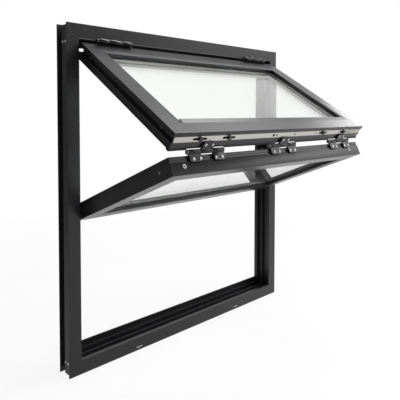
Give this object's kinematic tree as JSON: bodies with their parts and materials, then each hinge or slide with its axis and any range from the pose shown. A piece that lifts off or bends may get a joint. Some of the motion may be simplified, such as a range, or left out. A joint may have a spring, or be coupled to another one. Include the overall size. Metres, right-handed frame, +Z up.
{
  "type": "concession window",
  "caption": "Fold-up serving window: a square aluminium wall frame with a glazed upper sash hinged at the head and a glazed lower sash folding under it, shown half open.",
  "frame": {"origin": "middle of the flat seat under the sill, on the frame's outer side", "axes": "X across the window to the right seen from outside, Y into the room, Z up"},
  "size_m": [1.01, 0.499, 1.05],
  "materials": {
    "frame_alu": "charcoal powder coat on extruded aluminium",
    "sash_alu": "charcoal powder coat on extruded aluminium",
    "glass": "clear float glass",
    "spacer": "mill aluminium spacer bar",
    "gasket": "black rubber gasket or seal",
    "hinge_black": "black powder coat on cast hinge",
    "pin_steel": "turned steel pin",
    "lock_silver": "zinc plated strip",
    "stud_black": "blackened steel stud",
    "roller": "moulded black nylon"
  },
  "bodies": {
    "root": {"fold_seal_strips": "gasket", "head": "frame_alu", "left_fold_hinge_lower_leaves": "hinge_black", "left_fold_hinge_pin": "pin_steel", "left_fold_hinge_upper_leaf": "hinge_black", "left_guide_roller": "roller", "left_jamb": "frame_alu", "left_roller_axle": "pin_steel", "left_top_hinge_frame_leaf": "hinge_black", "left_top_hinge_pin": "pin_steel", "left_top_hinge_sash_leaf": "hinge_black", "lock_gear_plate": "lock_silver", "locking_bars": "lock_silver", "locking_studs": "stud_black", "lower_bottom_rail": "sash_alu", "lower_glass": "glass", "lower_glass_spacer": "spacer", "lower_glazing_beads": "sash_alu", "lower_glazing_gaskets": "gasket", "lower_left_stile": "sash_alu", "lower_right_stile": "sash_alu", "lower_top_rail": "sash_alu", "middle_fold_hinge_lower_leaves": "hinge_black", "middle_fold_hinge_pin": "pin_steel", "middle_fold_hinge_upper_leaf": "hinge_black", "right_fold_hinge_lower_leaves": "hinge_black", "right_fold_hinge_pin": "pin_steel", "right_fold_hinge_upper_leaf": "hinge_black", "right_guide_roller": "roller", "right_jamb": "frame_alu", "right_roller_axle": "pin_steel", "right_top_hinge_frame_leaf": "hinge_black", "right_top_hinge_pin": "pin_steel", "right_top_hinge_sash_leaf": "hinge_black", "sill": "frame_alu", "upper_bottom_rail": "sash_alu", "upper_glass": "glass", "upper_glass_spacer": "spacer", "upper_glazing_beads": "sash_alu", "upper_glazing_gaskets": "gasket", "upper_left_stile": "sash_alu", "upper_right_stile": "sash_alu", "upper_top_rail": "sash_alu"}
  },
  "joints": []
}
